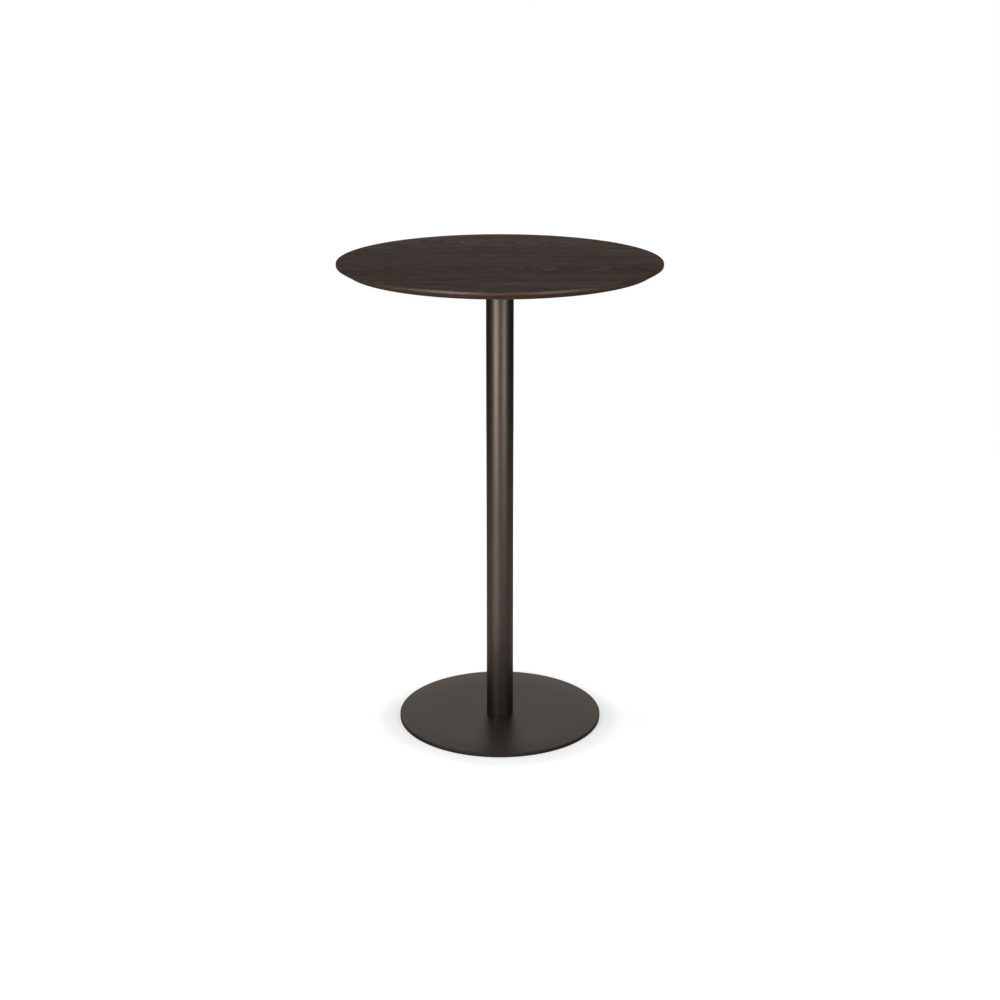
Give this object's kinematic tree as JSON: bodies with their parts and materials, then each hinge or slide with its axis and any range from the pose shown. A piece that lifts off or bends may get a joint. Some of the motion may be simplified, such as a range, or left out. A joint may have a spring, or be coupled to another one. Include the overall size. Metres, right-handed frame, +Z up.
{
  "type": "bar table",
  "caption": "Tall round pedestal table: dark oak veneered top with a bevelled edge, slim steel tube column and flat round steel base.",
  "frame": {"origin": "on the floor under the centre of the round top", "axes": "+Z up along the column, +X along the grain of the top, -Y towards the viewer of the picture"},
  "size_m": [0.6999, 0.7, 1.05],
  "materials": {
    "face_oak": "dark stained oak veneer, matt lacquer",
    "edge_oak": "dark stained solid oak, matt lacquer",
    "backing_oak": "dark stained veneer, plain sealed",
    "board": "fibreboard",
    "coated_steel": "satin dark bronze powder coat",
    "zinc_steel": "bright zinc plate",
    "turned_steel": "turned mild steel",
    "insert_brass": "plain brass",
    "glide_plastic": "black polyethylene"
  },
  "bodies": {
    "root": {"face_veneer": "face_oak", "core_board": "board", "edge_lipping": "edge_oak", "backing_veneer": "backing_oak", "threaded_inserts": "insert_brass", "top_plate": "coated_steel", "plate_screws": "zinc_steel", "plate_washers": "zinc_steel", "head_spigot": "turned_steel", "head_screws": "zinc_steel", "head_washer": "zinc_steel", "head_nut": "zinc_steel", "column_tube": "coated_steel", "tie_rod": "zinc_steel", "foot_spigot": "turned_steel", "foot_screws": "zinc_steel", "base_plate": "coated_steel", "floor_glides": "glide_plastic"}
  },
  "joints": []
}
